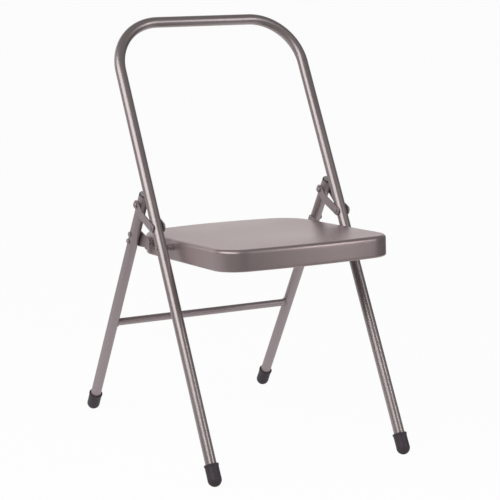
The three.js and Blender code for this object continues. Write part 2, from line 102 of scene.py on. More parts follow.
class SeatSettings(PropertyGroup):
    """Sizes of the pressed seat pan"""

    half_width: length("Half width", "Middle plane to the skirt", 0.1695)
    depth: length("Depth", "Front edge to back edge along the top", 0.4025)
    front_reach: length("Front reach", "Chair's middle to the front edge", 0.284)
    front_height: length("Front height", "Floor to the top at the front edge", 0.4092)
    corner_front: length("Front corner", "Radius of the front corners", 0.050)
    corner_rear: length("Rear corner", "Radius of the rear corners", 0.072)
    crown_front: length("Front crown", "Radius of the bowed front edge", 1.2)
    crown_rear: length("Rear crown", "Radius of the bowed back edge", 0.505)
    skirt: length("Skirt", "Height of the side wall", 0.0383)
    sheet: length("Sheet", "Thickness of the steel", 0.0012)
    rounding: length("Rounding", "Radius of the pressed rim", 0.007)
    hem_rounding: length("Hem rounding", "Radius of the turned-in hem", 0.0035)
    hem_width: length("Hem width", "How far the hem turns in", 0.010)
    dish: length("Dish", "How far the middle is pressed down", 0.0012)
    tilt: angle("Tilt", "Slope down to the back", rad(3.44))


class HardwareSettings(PropertyGroup):
    """Sizes of straps, brackets, rivets, spacers, caps and plugs"""

    plate: length("Plate", "Thickness of straps and brackets", 0.0025)
    edge: length("Plate edge", "Rounding of a plate's edges", 0.0006)
    slack: length("Slack", "Gap between two touching faces", 0.0003)
    strap_width: length("Strap width", "Width of a link strap", 0.0165)
    strap_front: length("Strap front", "Front rivet to the strap's end", 0.0105)
    strap_rear: length("Strap rear", "Rear rivet to the strap's end", 0.009)
    strap_corner: length("Strap corner", "Radius of the strap's front corners", 0.006)
    elbow_along: length("Elbow along", "Rear rivet to the strap's elbow", 0.0245)
    elbow_drop: length("Elbow drop", "Elbow below the line of the rivets", 0.005)
    ear: length("Bracket ear", "Radius round the rear pivot", 0.012)
    web: length("Bracket web", "Radius of the arm at the ear", 0.010)
    web_rise: length("Bracket web rise", "Arm's middle above the rear pivot", 0.002)
    shoulder: length("Bracket shoulder", "Radius round the upper rivet", 0.005)
    heel: length("Bracket heel", "Radius round the lower rivet", 0.0115)
    ball: length("Ball radius", "Radius of a foot's ball", 0.0125)
    cap: length("Cap length", "Ball's centre to the cap's rim", 0.027)
    cap_lip: length("Cap lip", "How far the cap's rim stands out", 0.0007)
    plug_dome: length("Plug dome", "Height over the tube's end", 0.0036)
    spacer: length("Spacer radius", "Outer radius of the spacers", 0.006)
    spacer_neck: length("Spacer neck", "Radius beside the inner strap", 0.004)
    bore: length("Bore", "Radius of the pivot holes", 0.0033)
    sides: setting(IntProperty, min=12)("Sides", "Facets round a rivet or spacer", 48)


class FinishSettings(PropertyGroup):
    """Colours of the paint, steel, rubber, plastic and floor"""

    frame_paint: paint_colour("Frame paint", "Paint of the front frame", (0.360, 0.312, 0.311))
    # Partly the pan's own tone and partly painted light: lighter than the frame's paint so that its
    # lit top reads brighter.
    seat_paint: paint_colour("Seat paint", "Paint of the seat pan", (0.400, 0.322, 0.324))
    # Partly the legs' own tone and partly painted light: lighter than the frame's paint so that the
    # legs read brighter.
    leg_paint: paint_colour("Leg paint", "Paint of the rear legs and hinges", (0.390, 0.328, 0.342))
    bare_steel: paint_colour("Bare steel", "Steel where paint is rubbed off", (0.45, 0.44, 0.43))
    rubber: paint_colour("Rubber", "Foot caps", (0.058, 0.043, 0.053))
    plug: paint_colour("Plug", "Plastic plugs of the rear legs", (0.060, 0.052, 0.056))
    floor: paint_colour("Floor", "Colour of the floor", (0.40, 0.40, 0.40))
    metal: share("Metal share", "How metallic the paint looks", 0.68)


class StageSettings(PropertyGroup):
    """Camera, floor and the white round the chair"""

    lens: setting(FloatProperty, min=1.0)("Lens", "Focal length in mm", 121.36)
    camera_place: setting(FloatVectorProperty, size=3, subtype="TRANSLATION")(
        "Camera", "Place of the camera", (-1.4112, -2.7650, 0.9437)
    )
    yaw: angle("Yaw", "Camera's turn towards +X", rad(27.387))
    pitch: angle("Pitch", "Camera's tilt upwards", rad(-10.823))
    roll: angle("Roll", "Camera's roll", rad(-0.31))
    floor_size: length("Floor size", "Side of the floor", 60.0)
    floor_glow: share("Floor glow", "Share of its white that takes no shadow", 0.96)
    room: share("Room", "Light of the dim room round the chair", 0.20)
    backdrop: share("Backdrop", "Light of the white backdrop behind the chair", 1.0)


# Meshes


def skin(name, rows, start=None, end=None, smooth=50, close_rows=False, close_columns=True):
    """Quads over a grid of points: row i, column j and their neighbours make one face.
    start and end are points that close the first and the last row with a fan of triangles.
    Faces look outwards. An edge that bends by more than smooth, in degrees, stays sharp."""
    width, total = rows.shape[1], rows.size // 3
    row = np.arange(0, total if close_rows else total - width, width)[:, None]
    column = np.arange(width if close_columns else width - 1)
    below, beside = (row + width) % total, (column + 1) % width
    quads = table(row + column, row + beside, below + beside, below + column).reshape(-1, 4)
    points, fans = [rows.reshape(-1, 3)], [np.zeros((0, 3), dtype=int)]
    ring, last = np.arange(width), total - width
    after = np.roll(ring, -1)
    for tip, one, other in ((start, after, ring), (end, last + ring, last + after)):
        if tip is not None:
            points.append([tip])
            fans.append(table(total, one, other))
            total += 1
    points, fans = np.concatenate(points), np.concatenate(fans)
    # The signed volume of the closed skin tells whether the faces look outwards.
    halves = np.concatenate([quads[:, :3], quads[:, [0, 2, 3]], fans])
    a, b, c = np.moveaxis(points[halves], 1, 0)
    if np.einsum("ij,ij->", a, np.cross(b, c)) < 0:
        quads, fans = quads[:, ::-1], fans[:, ::-1]
    mesh = bpy.data.meshes.new(name)
    mesh.from_pydata(points.tolist(), [], quads.tolist() + fans.tolist())
    mesh.polygons.foreach_set("use_smooth", np.ones(len(mesh.polygons), dtype=bool))
    mesh.set_sharp_from_angle(angle=math.radians(smooth))
    mesh.update()
    return add_object(mesh)


def add_object(data):
    made = bpy.data.objects.new(data.name, data)
    bpy.context.scene.collection.objects.link(made)
    return made


def store(piece, name, values, sides, *ends):
    """Keeps one number for each row of a turned piece and for its ends, for its material."""
    layer = piece.data.attributes.new(name, "FLOAT", "POINT")
    values = np.concatenate([np.repeat(values, sides), ends])
    layer.data.foreach_set("value", values.astype(np.float32))


def table(*columns):
    """Columns of numbers side by side; a single number fills its column."""
    return np.stack(np.broadcast_arrays(*columns), axis=-1)


def around(count):
    """Evenly spaced angles round one turn."""
    return np.arange(count) / count * TURN


def spokes(turn, across, over):
    """Directions: the cosine of each angle along across plus its sine along over."""
    return np.cos(turn)[:, None] * across + np.sin(turn)[:, None] * over


def unit(vectors):
    return vectors / np.linalg.norm(vectors, axis=-1, keepdims=True)


def ahead_of(path):
    """The direction of a closed path at each of its points."""
    return unit(np.roll(path, -1, axis=0) - np.roll(path, 1, axis=0))


def carried(path, across, over, radius, sides):
    """A round tube: each point of the path plus radius times the cosine of the turn along the
    across direction and the sine along the over direction."""
    ring = spokes(around(sides), across[:, None], over[:, None])
    return path[:, None] + np.reshape(radius, (-1, 1, 1)) * ring


def turned(profile, origin, axis, across, over, sides):
    """A turned shape: a profile of (radius, distance along the axis) pairs, spun about the
    axis, so that a point is origin + distance * axis + radius * (cosine, sine) of the turn."""
    radius, distance = profile.T[:, :, None, None]
    return origin + distance * axis + radius * spokes(around(sides), across, over)


def arc(radius, centre, start, stop, steps):
    """Profile points on a circle: centre plus radius times (cosine, sine) of the turn."""
    turn = np.linspace(start, stop, steps)
    return centre + radius * table(np.cos(turn), np.sin(turn))


class Leg:
    """A leg's centre line: its foot, the direction up it and the direction square to both it
    and the X axis."""

    def __init__(self, tube, side, front):
        lean = tube.front_lean if front else -tube.rear_lean
        reach = -tube.foot_reach if front else tube.foot_reach
        self.foot = np.array([side * tube.leg_half_span, reach, tube.ball_height])
        self.up = np.array([0.0, math.sin(lean), math.cos(lean)])
        self.square = np.cross(self.up, X_AXIS)

    def rise(self, height):
        """The distance up the leg to a height over the floor."""
        return (height - self.foot[2]) / self.up[2]

    def along(self, distance):
        return self.foot + distance * self.up

    def spun(self, profile, sides):
        """A profile of (radius, distance up the leg) pairs turned about the centre line."""
        return turned(profile, self.foot, self.up, X_AXIS, self.square, sides)


def sizes(context):
    return context.scene.chair_tubes, context.scene.chair_hardware


def centre_of(node):
    return np.mean(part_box(node), axis=0)


def reach_of(node):
    """How far a node's near and far sides lie from the middle plane, and its centre laid on
    that plane."""
    near, far = sorted(abs(corner[0]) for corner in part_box(node))
    return near, far, centre_of(node) * ONTO_MIDDLE


# Materials


def maths(operation, reflected=False):
    """A method that adds a Math node for a socket and another socket or number."""

    def method(self, other):
        inputs = {0: other, 1: self} if reflected else {0: self, 1: other}
        return self.recipe.wire("ShaderNodeMath", {"operation": operation}, inputs)

    return method


class Wire:
    """A socket whose operators add Math nodes to its tree."""

    def __init__(self, recipe, socket):
        self.recipe = recipe
        self.socket = socket

    __add__, __radd__ = maths("ADD"), maths("ADD", reflected=True)
    __sub__, __rsub__ = maths("SUBTRACT"), maths("SUBTRACT", reflected=True)
    __mul__, __rmul__ = maths("MULTIPLY"), maths("MULTIPLY", reflected=True)


class Recipe:
    """A node tree, and the calls that add nodes to it."""

    def __init__(self, tree, coordinates="Object"):
        self.tree = tree
        self.tree.nodes.clear()
        self.place = self.wire("ShaderNodeTexCoord", output=coordinates)

    def node(self, kind, settings=None, inputs=None):
        made = self.tree.nodes.new(kind)
        for key, value in (settings or {}).items():
            setattr(made, key, value)
        for key, value in (inputs or {}).items():
            self.feed(made.inputs[key], value)
        return made

    def wire(self, kind, settings=None, inputs=None, output=0):
        return Wire(self, self.node(kind, settings, inputs).outputs[output])

    def feed(self, socket, value):
        if isinstance(value, Wire):
            self.tree.links.new(value.socket, socket)
        else:
            socket.default_value = value

    def noise(self, scale, detail=2.0, roughness=0.5, stretch=None):
        place = self.place
        if stretch:
            place = self.wire("ShaderNodeMapping", {}, {"Vector": place, "Scale": stretch})
        inputs = {"Vector": place, "Scale": scale, "Detail": detail, "Roughness": roughness}
        return self.wire("ShaderNodeTexNoise", {}, inputs, "Fac")

    def band(self, value, low, high, to_low=0.0, to_high=1.0):
        """A smooth step: to_low below low, to_high above high."""
        inputs = dict(enumerate((value, low, high, to_low, to_high)))
        return self.wire("ShaderNodeMapRange", {"interpolation_type": "SMOOTHSTEP"}, inputs)

    def blend(self, share_of_b, a, b):
        """Colour a with a share of colour b."""
        a, b = [c if isinstance(c, Wire) else (*tuple(c)[:3], 1.0) for c in (a, b)]
        inputs = {"Factor": share_of_b, 6: a, 7: b}
        return self.wire("ShaderNodeMix", {"data_type": "RGBA"}, inputs, 2)

    def bump(self, height, distance, strength, normal=None):
        inputs = {"Height": height, "Distance": distance, "Strength": strength}
        if normal:
            inputs["Normal"] = normal
        return self.wire("ShaderNodeBump", {}, inputs)

    def part(self, axis):
        return self.wire("ShaderNodeSeparateXYZ", {}, {0: self.place}, axis)

    def seen_by(self, *kinds):
        """1 for the named kinds of ray, such as those that come from the camera."""
        path = self.node("ShaderNodeLightPath")
        rays = [Wire(self, path.outputs[f"Is {kind} Ray"]) for kind in kinds]
        return sum(rays[1:], rays[0])

    def attribute(self, name):
        return self.wire("ShaderNodeAttribute", {"attribute_name": name}, {}, "Fac")


class Coat(Recipe):
    """A material's node tree with a Principled shader."""

    def __init__(self, name):
        self.material = bpy.data.materials.new(name)
        self.material.use_nodes = True
        super().__init__(self.material.node_tree)
        self.shader = self.wire("ShaderNodeBsdfPrincipled")
        self.output = self.node("ShaderNodeOutputMaterial", {}, {"Surface": self.shader})

    def shade(self, **inputs):
        for key, value in inputs.items():
            self.feed(self.shader.socket.node.inputs[key.replace("_", " ")], value)
        return self.material


def shaded(colour, factor):
    return tuple(min(1.0, channel * factor) for channel in colour)


def powder_coat(name, colour, metal, gloss, grain=1.0):
    """Satin powder coat with metal flake: fine pebbling, slow drifts of tone and faint scuffs."""
    coat = Coat(name)
    drift = coat.band(coat.noise(scale=5.0, detail=3.0), 0.3, 0.7)
    flake = coat.noise(scale=1900.0, detail=1.0)
    streaks = coat.noise(scale=24.0, detail=6.0, roughness=0.72, stretch=(1.0, 1.0, 0.35))
    scuff = coat.band(streaks, 0.60, 0.78)
    tone = coat.blend(drift, shaded(colour, 0.955), shaded(colour, 1.04))
    sparkle = coat.blend(coat.band(flake, 0.42, 0.72) * 0.25, tone, shaded(colour, 1.4))
    peel = coat.bump(coat.noise(scale=95.0, detail=1.0), distance=0.00005, strength=0.30)
    pebble = coat.noise(scale=520.0, detail=2.0, roughness=0.45)
    return coat.shade(
        Base_Color=coat.blend(scuff * 0.12, sparkle, shaded(colour, 1.3)),
        Metallic=metal,
        Roughness=gloss + 0.07 * drift + 0.06 * scuff - 0.04 * flake,
        Normal=coat.bump(pebble, distance=0.00001 * grain, strength=0.4, normal=peel),
        Specular_Tint=(1.0, 0.93, 0.93, 1.0),
    )


def moulded_rubber(name, colour):
    """Charcoal rubber: a fine matt grain, grey bloom and dust that gathers near the floor."""
    rubber = Coat(name)
    bloom = rubber.band(rubber.noise(scale=45.0, detail=4.0, roughness=0.6), 0.4, 0.75)
    low = rubber.band(rubber.part("Z"), 0.012, 0.0)
    dust = low * rubber.band(rubber.noise(scale=210.0, detail=3.0), 0.3, 0.8)
    tone = rubber.blend(bloom * 0.25, colour, shaded(colour, 1.7))
    dust_colour = (0.24, 0.22, 0.21)
    return rubber.shade(
        Base_Color=rubber.blend(dust * 0.3, tone, dust_colour),
        Roughness=0.52 + 0.16 * bloom + 0.15 * dust,
        Normal=rubber.bump(rubber.noise(scale=900.0), distance=0.00004, strength=0.6),
    )


def moulded_plastic(name, colour):
    """Glossy dark plastic with fine scratches, and a painted highlight that lightens its crown."""
    plastic = Coat(name)
    # Painted highlight: the crown is blended towards a pale grey where a lamp's reflection would
    # show.
    crown = plastic.band(plastic.attribute("rub_and_highlight"), 0.10, 0.28)
    lines = plastic.noise(scale=260.0, detail=5.0, roughness=0.7, stretch=(1.0, 0.15, 1.0))
    scratch = plastic.band(lines, 0.55, 0.75)
    painted_highlight_colour = (0.42, 0.40, 0.40)
    tone = plastic.blend(crown, colour, painted_highlight_colour)
    return plastic.shade(
        Base_Color=plastic.blend(scratch * 0.4, tone, shaded(colour, 1.8)),
        Roughness=0.22 + 0.2 * scratch,
        Normal=plastic.bump(plastic.noise(scale=300.0), distance=0.00003, strength=0.4),
    )


def painted_rivet(name, colour, steel):
    """Paint over a rivet head, thin on its crown, where the steel shows through in specks."""
    head = Coat(name)
    speck = head.band(head.noise(scale=700.0, detail=4.0, roughness=0.7), 0.52, 0.66)
    bare = head.attribute("rub_and_highlight") * speck
    drift = head.band(head.noise(scale=60.0), 0.3, 0.7)
    return head.shade(
        Base_Color=head.blend(bare * 0.8, head.blend(drift, shaded(colour, 0.93), colour), steel),
        Metallic=0.5 + 0.4 * bare,
        Roughness=0.40 - 0.10 * bare + 0.06 * speck,
        Normal=head.bump(head.noise(scale=420.0), distance=0.00003, strength=0.6),
    )


def make_materials(finish):
    metal, leg = finish.metal, finish.leg_paint
    return {
        "frame": powder_coat("frame_powder_coat", finish.frame_paint, metal, gloss=0.30),
        "seat": powder_coat("seat_powder_coat", finish.seat_paint, metal, gloss=0.32, grain=1.2),
        "leg": powder_coat("leg_powder_coat", leg, metal, gloss=0.46),
        "rubber": moulded_rubber("foot_rubber", finish.rubber),
        "plug": moulded_plastic("plug_plastic", finish.plug),
        "rivet": painted_rivet("rivet_paint", leg, finish.bare_steel),
    }


MATERIALS = {}


def finished(piece, finish, body, *nodes):
    """Gives a piece its finish, its CAD body and the nodes it stands for."""
    if not MATERIALS:
        MATERIALS.update(make_materials(bpy.context.scene.chair_finish))
    piece.data.materials.append(MATERIALS[finish])
    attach(piece, body)
    if nodes:
        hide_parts(*nodes)


# Pieces


class CHAIR_OT_front_frame(Operator):
    """Bends the one tube of the front legs and the top bar"""

    bl_idname = "yoga_chair.front_frame"
    bl_label = "Front Frame"

    def execute(self, context):
        tube = context.scene.chair_tubes
        leg = Leg(tube, 1.0, True)
        bend, span, top = tube.bend_radius, tube.leg_half_span, leg.rise(tube.top_height)
        leg_steps, bend_steps, bar_steps, sides = 24, 49, 7, 72
        straight = np.linspace(tube.depth_in_cap, top - bend, leg_steps, endpoint=False)
        turn = np.linspace(0.0, QUARTER, bend_steps)
        bar = np.linspace(span - bend, 0.0, bar_steps)[1:]
        # Half of the centre line as across, rise and heading: a straight leg, a quarter circle
        # and half of the top bar. The other half mirrors it.
        half = np.concatenate(
            [
                table(span, straight, 0.0),
                table(span - bend * (1 - np.cos(turn)), top - bend * (1 - np.sin(turn)), turn),
                table(bar, top, QUARTER),
            ]
        )
        mirrored = half[-2::-1] * (-1.0, 1.0, -1.0) + (0.0, 0.0, math.pi)
        across, rise, heading = np.concatenate([half, mirrored]).T
        path = leg.foot * ONTO_MIDDLE + across[:, None] * X_AXIS + rise[:, None] * leg.up
        inward = spokes(heading, -X_AXIS, -leg.up)
        rows = carried(path, inward, leg.square[None], tube.radius, sides)
        piece = skin("front_frame_tube", rows, path[0], path[-1])
        finished(piece, "frame", "frame", "front_frame")
        return {"FINISHED"}


def crossbar_edge(tube, leg, turn):
    """The crossbar's middle, the directions round it, and how far from the middle plane
    its lengthwise lines meet the leg: half span less the leg circle's height over them."""
    middle = leg.along(leg.rise(tube.crossbar_height)) * ONTO_MIDDLE
    ring = spokes(turn, Y_AXIS, Z_AXIS)
    offset = tube.crossbar_radius * (ring @ leg.square)
    return middle, ring, tube.leg_half_span - np.sqrt(tube.radius**2 - offset**2)


def add_crossbar(tube, leg):
    steps, sides, sunk = 25, 56, 0.0004
    middle, ring, edge = crossbar_edge(tube, leg, around(sides))
    # Each lengthwise line runs from one leg's surface to the other's.
    along = np.linspace(-1.0, 1.0, steps)[:, None] * (edge + sunk)
    rows = middle + along[..., None] * X_AXIS + tube.crossbar_radius * ring
    end = (edge + sunk).min() * X_AXIS
    piece = skin("crossbar_tube", rows, middle - end, middle + end)
    finished(piece, "leg", "rear_legs", "rear_crossbar")


def add_weld(tube, leg, side, word):
    """A bead carried round the line where the crossbar meets the leg, whose thickness
    swells where each drop of the weld set."""
    steps, sides = 160, 16
    drops, drop_share, waves, wave_share = 13, 0.10, 3, 0.06
    turn = around(steps)
    middle, ring, edge = crossbar_edge(tube, leg, turn)
    path = middle + side * edge[:, None] * X_AXIS + tube.crossbar_radius * ring
    forward = ahead_of(path)
    over = unit(np.cross(forward, ring))
    across = np.cross(over, forward)
    swell = drop_share * np.abs(np.sin(turn * drops)) + wave_share * np.sin(turn * waves + side)
    rows = carried(path, across, over, tube.weld_radius * (1 + swell), sides)
    piece = skin(f"crossbar_weld_{word}", rows, close_rows=True)
    finished(piece, "leg", "rear_legs")


class CHAIR_OT_rear_legs(Operator):
    """Makes the rear legs, their crossbar and its welds"""

    bl_idname = "yoga_chair.rear_legs"
    bl_label = "Rear Legs"

    def execute(self, context):
        tube = context.scene.chair_tubes
        steps, sides, rim = 20, 64, 0.0006
        for word, side in SIDES:
            leg = Leg(tube, side, False)
            low, top = tube.depth_in_cap, leg.rise(tube.rear_top)
            wall = table(tube.radius, np.linspace(low, top - rim, steps))
            # The cut end is rolled over by the rim's radius.
            roll = arc(rim, (tube.radius - rim, top - rim), 0.0, QUARTER, 5)[1:]
            rows = leg.spun(np.concatenate([wall, roll]), sides)
            piece = skin(f"rear_leg_tube_{word}", rows, leg.along(low), leg.along(top))
            finished(piece, "leg", "rear_legs", f"rear_leg_{word}")
            add_weld(tube, leg, side, word)
        add_crossbar(tube, leg)
        return {"FINISHED"}


def as_seat_lies(seat, points):
    """Tilts the pan about its front edge and sets it at its height."""
    cosine, sine = math.cos(seat.tilt), math.sin(seat.tilt)
    x, v, w = np.moveaxis(points, -1, 0)
    y = -seat.front_reach + cosine * v + sine * w
    z = seat.front_height - sine * v + cosine * w
    return table(x, y, z)


def half_outline(seat):
    """Points and outward normals from the middle of the front edge to the middle of the
    back: arcs and a straight side that meet in line, along which the normal's heading turns
    evenly."""
    crown_steps, corner_steps, side_steps = 14, 22, 24
    ends = [(seat.crown_front, seat.corner_front), (seat.crown_rear, seat.corner_rear)]
    front, rear = [
        math.asin((seat.half_width - corner) / (crown - corner)) for crown, corner in ends
    ]
    # What the two bowed ends leave of the depth is straight.
    side = seat.depth - sum(
        crown + (corner - crown) * math.cos(turn)
        for (crown, corner), turn in zip(ends, (front, rear))
    )
    # Radius, straight run, first and last heading, and steps.
    arcs = [
        (seat.crown_front, 0.0, 0.0, front, crown_steps),
        (seat.corner_front, 0.0, front, QUARTER, corner_steps),
        (0.0, side, QUARTER, QUARTER, side_steps),
        (seat.corner_rear, 0.0, QUARTER, math.pi - rear, corner_steps),
        (seat.crown_rear, 0.0, math.pi - rear, math.pi, crown_steps),
    ]
    pieces, spot = [], np.zeros(2)
    for radius, run, begin, stop, steps in arcs:
        heading = np.linspace(begin, stop, steps + 1)
        normal = table(np.sin(heading), -np.cos(heading))
        ahead = table(0.0, np.linspace(0.0, run, steps + 1))
        points = spot + radius * (normal - normal[0]) + ahead
        spot = points[-1]
        pieces.append(np.concatenate([points, normal], axis=-1)[:-1])
    pieces.append([[0.0, spot[1], 0.0, 1.0]])
    return np.concatenate(pieces)


def seat_ring(half, inset, height):
    """The whole outline moved inwards by inset, at one height."""
    points = half[:, :2] - inset * half[:, 2:]
    points[[0, -1], 0] = 0.0
    x, v = np.concatenate([points, points[-2:0:-1] * (-1.0, 1.0)]).T
    return table(x, v, height)


def seat_section(seat):
    """(inset, height) pairs over the rim, down the skirt, round the hem and back inside."""
    rim, hem, sheet = seat.rounding, seat.hem_rounding, seat.sheet
    down, lip = 1.5 * math.pi, sheet / 2
    hem_centre = (hem, hem - seat.skirt)
    skirt = np.linspace(-rim, hem - seat.skirt, 10)[1:-1]
    return np.concatenate(
        [
            arc(rim, (rim, -rim), QUARTER, math.pi, 14),
            table(0.0, skirt),
            arc(hem, hem_centre, math.pi, down, 9),
            [[seat.hem_width - lip, -seat.skirt]],
            arc(lip, (seat.hem_width, lip - seat.skirt), -QUARTER, QUARTER, 7),
            arc(hem - sheet, hem_centre, down, math.pi, 9),
            table(sheet, skirt[::-1]),
            arc(rim - sheet, (rim, -rim), math.pi, QUARTER, 12),
        ]
    )


class CHAIR_OT_seat_pan(Operator):
    """Presses the seat pan with its rounded rim, skirt and hem"""

    bl_idname = "yoga_chair.seat_pan"
    bl_label = "Seat Pan"

    def execute(self, context):
        seat = context.scene.chair_seat
        panel_rings, least_share = 34, 0.06
        half, section = half_outline(seat), seat_section(seat)
        rings = [seat_ring(half, inset, height) for inset, height in section]
        rim = seat_ring(half, section[0][0], 0.0)
        middle = np.array([0.0, seat.depth / 2, 0.0])
        # Inside the rim the rings shrink to the middle, over a shallow dish.
        shrink = np.linspace(least_share, 1.0, panel_rings, endpoint=False)[:, None, None]
        dish = -seat.dish * (1 - shrink**2) ** 2
        panel = middle + shrink * (rim - middle)
        under = panel[::-1] + (dish[::-1] - seat.sheet) * Z_AXIS
        rows = np.concatenate([panel + dish * Z_AXIS, rings, under])
        start = middle - seat.dish * Z_AXIS
        end = start - seat.sheet * Z_AXIS
        rows, start, end = [as_seat_lies(seat, points) for points in (rows, start, end)]
        piece = skin("seat_pan_pressing", rows, start, end)
        finished(piece, "seat", "seat", "seat_pan")
        return {"FINISHED"}


def hull_reach(circles, middle, turn):
    """How far the convex outline round some circles reaches from a middle point at each turn:
    the least, over all headings within a quarter turn, of the outline's reach in that heading
    over the cosine of the angle between the heading and the turn."""
    circles = np.asarray(circles, dtype=float)
    heading, least = table(np.cos(turn), np.sin(turn)), 0.02
    support = (heading @ (circles[:, :2] - middle).T + circles[:, 2]).max(axis=1)
    cosine = heading @ heading.T
    reach = np.where(cosine > least, support[None, :] / np.maximum(cosine, least), np.inf)
    return reach.min(axis=1)


def plate_outline(hulls, middle):
    """Evenly spaced points and outward normals of the union of some convex outlines, which all
    hold the middle point. A running mean eases the corners where two of them meet."""
    rays, count, passes = 720, 240, 2
    turn = around(rays)
    reach = np.max([hull_reach(circles, middle, turn) for circles in hulls], axis=0)
    points = middle + reach[:, None] * table(np.cos(turn), np.sin(turn))
    closed = np.concatenate([points, points[:1]])
    steps = np.linalg.norm(np.diff(closed, axis=0), axis=1)
    walked = np.concatenate([[0.0], np.cumsum(steps)])
    wanted = np.arange(count) / count * walked[-1]
    points = table(*(np.interp(wanted, walked, closed[:, i]) for i in (0, 1)))
    for _ in range(passes):
        points = (np.roll(points, 1, axis=0) + 2 * points + np.roll(points, -1, axis=0)) / 4
    ahead = ahead_of(points)
    return points, table(ahead[:, 1], -ahead[:, 0])


def plate(name, outline, middle, parts, place):
    """A sheet plate: the outline's edge is rounded, and both faces are rings that shrink to
    the middle point. place(flat, depth) sets a point of the flat sheet, at its depth in the
    sheet, where it belongs on the chair."""
    points, normal = outline
    edge, sheet, face_rings, least_share = parts.edge, parts.plate, 9, 0.1
    near_edge = arc(edge, (edge, edge), 1.5 * math.pi, math.pi, 5)
    far_edge = arc(edge, (edge, sheet - edge), math.pi, QUARTER, 5)
    inset, depth = np.concatenate([near_edge, far_edge]).T
    rim = points - inset[:, None, None] * normal
    shrink = np.linspace(least_share, 1.0, face_rings, endpoint=False)[:, None, None]
    near = middle + shrink * (rim[0] - middle)
    far = middle + shrink[::-1] * (rim[-1] - middle)
    depth = np.pad(depth, face_rings, constant_values=(0.0, sheet))
    rows = place(np.concatenate([near, rim, far]), depth[:, None])
    return skin(name, rows, place(middle, 0.0), place(middle, sheet), smooth=40)


def bent_on(tube, parts, leg, side, neutral):
    """Lays the flat sheet on the leg: flat in front of the centre line, and behind it round
    the tube, by an angle of the distance over the sheet's neutral radius."""

    def place(flat, depth):
        radius = tube.radius + parts.slack + depth
        bend = np.maximum(flat[..., 1], 0.0) / neutral
        x = tube.leg_half_span - radius * np.cos(bend)
        behind = np.minimum(flat[..., 1], 0.0) + radius * np.sin(bend)
        spot = leg.foot + flat[..., :1] * leg.up + behind[..., None] * leg.square
        return spot * ONTO_MIDDLE + side * x[..., None] * X_AXIS

    return place


class CHAIR_OT_hinge_brackets(Operator):
    """Cuts and bends the brackets that carry the seat on the rear legs"""

    bl_idname = "yoga_chair.hinge_brackets"
    bl_label = "Hinge Brackets"

    def execute(self, context):
        tube, parts = sizes(context)
        # From the pivot to the point inside both outlines, as a share of the ear's radius.
        inside, nearly_square = 0.8, 0.99
        for word, side in SIDES:
            leg = Leg(tube, side, False)
            stems = ("rear_pivot_rivet", "bracket_rivet_upper", "bracket_rivet_lower")
            points = [centre_of(f"{stem}_{word}") - leg.foot for stem in stems]
            points.append(points[0] + parts.web_rise * Z_AXIS)
            # Each as its distance up the leg and its distance behind the leg's centre line.
            pivot, upper, lower, web = points @ table(leg.up, leg.square)
            arm = [(*web, parts.web), (*upper, parts.shoulder), (*lower, parts.heel)]
            middle = pivot + inside * parts.ear * unit((upper + lower) / 2 - pivot)
            points, normal = plate_outline([arm, [(*pivot, parts.ear)]], middle)
            neutral = tube.radius + parts.slack + parts.plate / 2
            # Behind the leg's centre line the outline is unrolled from the bend.
            behind = np.clip(points[:, 1] / neutral, 0.0, nearly_square)
            points[:, 1] = np.where(behind > 0, neutral * np.arcsin(behind), points[:, 1])
            place = bent_on(tube, parts, leg, side, neutral)
            piece = plate(f"bracket_plate_{word}", (points, normal), middle, parts, place)
            finished(piece, "leg", "rear_legs", f"hinge_bracket_{word}")
        return {"FINISHED"}


def strap_arms(parts, front, rear):
    """The strap's elbow, and the circles of its rear arm and of its blunt front arm."""

    def beside(start, way, far, over):
        """A point far along the way from start and over to the left of it."""
        return start + way * far + np.array([-way[1], way[0]]) * over

    half, corner = parts.strap_width / 2, parts.strap_corner
    elbow = beside(rear, unit(front - rear), parts.elbow_along, parts.elbow_drop)
    rear_end = beside(rear, unit(elbow - rear), half - parts.strap_rear, 0.0)
    tips = [
        beside(front, unit(front - elbow), parts.strap_front - corner, over)
        for over in (half - corner, corner - half)
    ]
    rear_arm = [(*rear_end, half), (*elbow, half)]
    return elbow, [rear_arm, [(*elbow, half), *((*tip, corner) for tip in tips)]]


class CHAIR_OT_link_straps(Operator):
    """Cuts the pair of straps of each link"""

    bl_idname = "yoga_chair.link_straps"
    bl_label = "Link Straps"

    def execute(self, context):
        tube, parts = sizes(context)
        for word, side in SIDES:
            front = centre_of(f"link_front_rivet_{word}")[1:]
            rear = centre_of(f"link_rear_rivet_outer_{word}")[1:]
            elbow, hulls = strap_arms(parts, front, rear)
            outline = plate_outline(hulls, elbow)
            for where, outward in (("outer", 1.0), ("inner", -1.0)):

                def place(flat, depth, side=side, outward=outward):
                    reach = tube.radius + parts.slack + depth
                    x = side * (tube.leg_half_span + outward * reach)
                    return table(x, flat[..., 0], flat[..., 1])

                piece = plate(f"strap_plate_{where}_{word}", outline, elbow, parts, place)
                finished(piece, "leg", f"link_{word}", f"link_strap_{where}_{word}")
        return {"FINISHED"}


def head_profile(head, face, outward):
    """A rivet head's profile as (radius, X) pairs from its rim to its crown: a short upright
    rim, then a dome whose height follows the sine of the turn."""
    radius, height = head
    rim_share, roundness, steps = 0.16, 0.92, 14
    foot_share, foot_rise = 0.97, 0.3
    rim = height * rim_share
    turn = np.linspace(0.0, QUARTER, steps)
    rise = rim + (height - rim) * np.sin(turn)
    dome = table(radius * np.cos(turn) ** roundness, face + outward * rise)
    dome[-1, 0] = 0.0
    foot = [[radius * foot_share, face], [radius, face + outward * rim * foot_rise]]
    return np.concatenate([foot, dome])


SHANK, THIN_SHANK = 0.0030, 0.0024
# Rivet heads as (radius, height).
FLAT_HEAD, DOME_HEAD = (0.0055, 0.0012), (0.0060, 0.0040)
SMALL_HEAD, BRACKET_HEAD = (0.0036, 0.0016), (0.0050, 0.0032)
